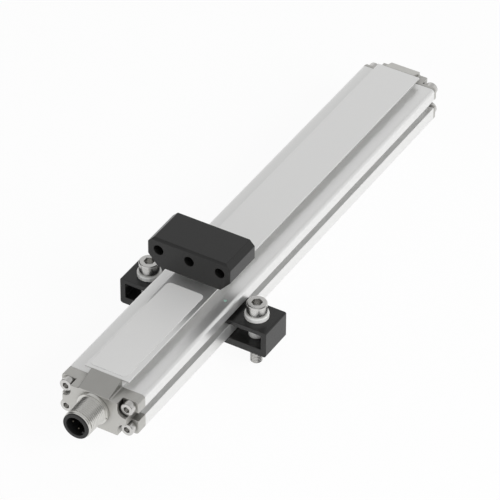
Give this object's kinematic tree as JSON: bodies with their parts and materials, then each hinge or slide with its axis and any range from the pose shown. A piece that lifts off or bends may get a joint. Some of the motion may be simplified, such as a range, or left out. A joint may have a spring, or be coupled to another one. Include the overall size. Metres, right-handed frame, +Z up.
{
  "type": "magnetostrictive linear position sensor",
  "caption": "Profile-style magnetostrictive position sensor with round threaded plug, floating magnet block and sliding mounting brackets.",
  "frame": {"origin": "midway between the axes of the two bracket screws, on the plane that the brackets stand on", "axes": "+X along the profile away from the plug, +Y to the left side seen from the plug, +Z up through the magnet block"},
  "size_m": [0.2597, 0.0678, 0.0523],
  "materials": {
    "aluminium": "natural anodised extrusion, satin",
    "cast_aluminium": "die-cast, fine matt grain",
    "label": "thin satin film",
    "light_pipe": "clear plastic tinted green",
    "seal_rubber": "moulded seal",
    "screw_steel": "zinc-plated steel",
    "nickel_plate": "nickel-plated brass, satin",
    "black_insert": "glass-filled polyamide",
    "gold_plate": "gold-plated contacts",
    "wire_insulation": "soft wire insulation",
    "board_laminate": "green solder mask",
    "chip_plastic": "moulded component bodies",
    "waveguide_wire": "drawn magnetostrictive wire",
    "clear_tube": "soft white sleeve",
    "rail_plastic": "grey moulded polyamide",
    "clamp_brass": "turned brass",
    "copper": "enamelled copper",
    "damper_rubber": "soft damping compound",
    "black_plastic": "moulded, fine grain",
    "magnet_ferrite": "sintered, matt",
    "potting": "cast resin",
    "sleeve_plastic": "light grey polyamide"
  },
  "bodies": {
    "sensor": {"profile_body": "aluminium", "name_label": "label", "light_pipe": "light_pipe", "status_led": "light_pipe", "front_cap": "cast_aluminium", "front_gasket": "seal_rubber", "front_cap_screws": "screw_steel", "connector_shell": "nickel_plate", "connector_insert": "black_insert", "connector_pins": "gold_plate", "connector_seal": "seal_rubber", "connector_leads": "wire_insulation", "rear_cap": "cast_aluminium", "rear_gasket": "seal_rubber", "rear_cap_screws": "screw_steel", "circuit_board": "board_laminate", "board_parts": "chip_plastic", "waveguide": "waveguide_wire", "waveguide_tube": "clear_tube", "waveguide_rail": "rail_plastic", "waveguide_clamp": "clamp_brass", "return_wire": "copper", "coil_bobbin": "rail_plastic", "pickup_coil": "copper", "damping_plug": "damper_rubber"},
    "magnet": {"magnet_housing": "black_plastic", "bar_magnets": "magnet_ferrite", "magnet_potting": "potting"},
    "left_mount": {"left_bracket": "black_plastic", "left_sleeve": "sleeve_plastic", "left_washer": "screw_steel", "left_bracket_screw": "screw_steel"},
    "right_mount": {"right_bracket": "black_plastic", "right_sleeve": "sleeve_plastic", "right_washer": "screw_steel", "right_bracket_screw": "screw_steel"}
  },
  "joints": [
    {"name": "magnet_travel", "type": "slide", "parent": "sensor", "child": "magnet", "axis": [1, 0, 0], "range_m": [0, 0.1]},
    {"name": "left_mount_slide", "type": "slide", "parent": "sensor", "child": "left_mount", "axis": [1, 0, 0], "range_m": [-0.0628, 0.1522]},
    {"name": "right_mount_slide", "type": "slide", "parent": "sensor", "child": "right_mount", "axis": [1, 0, 0], "range_m": [-0.0628, 0.1522]}
  ]
}
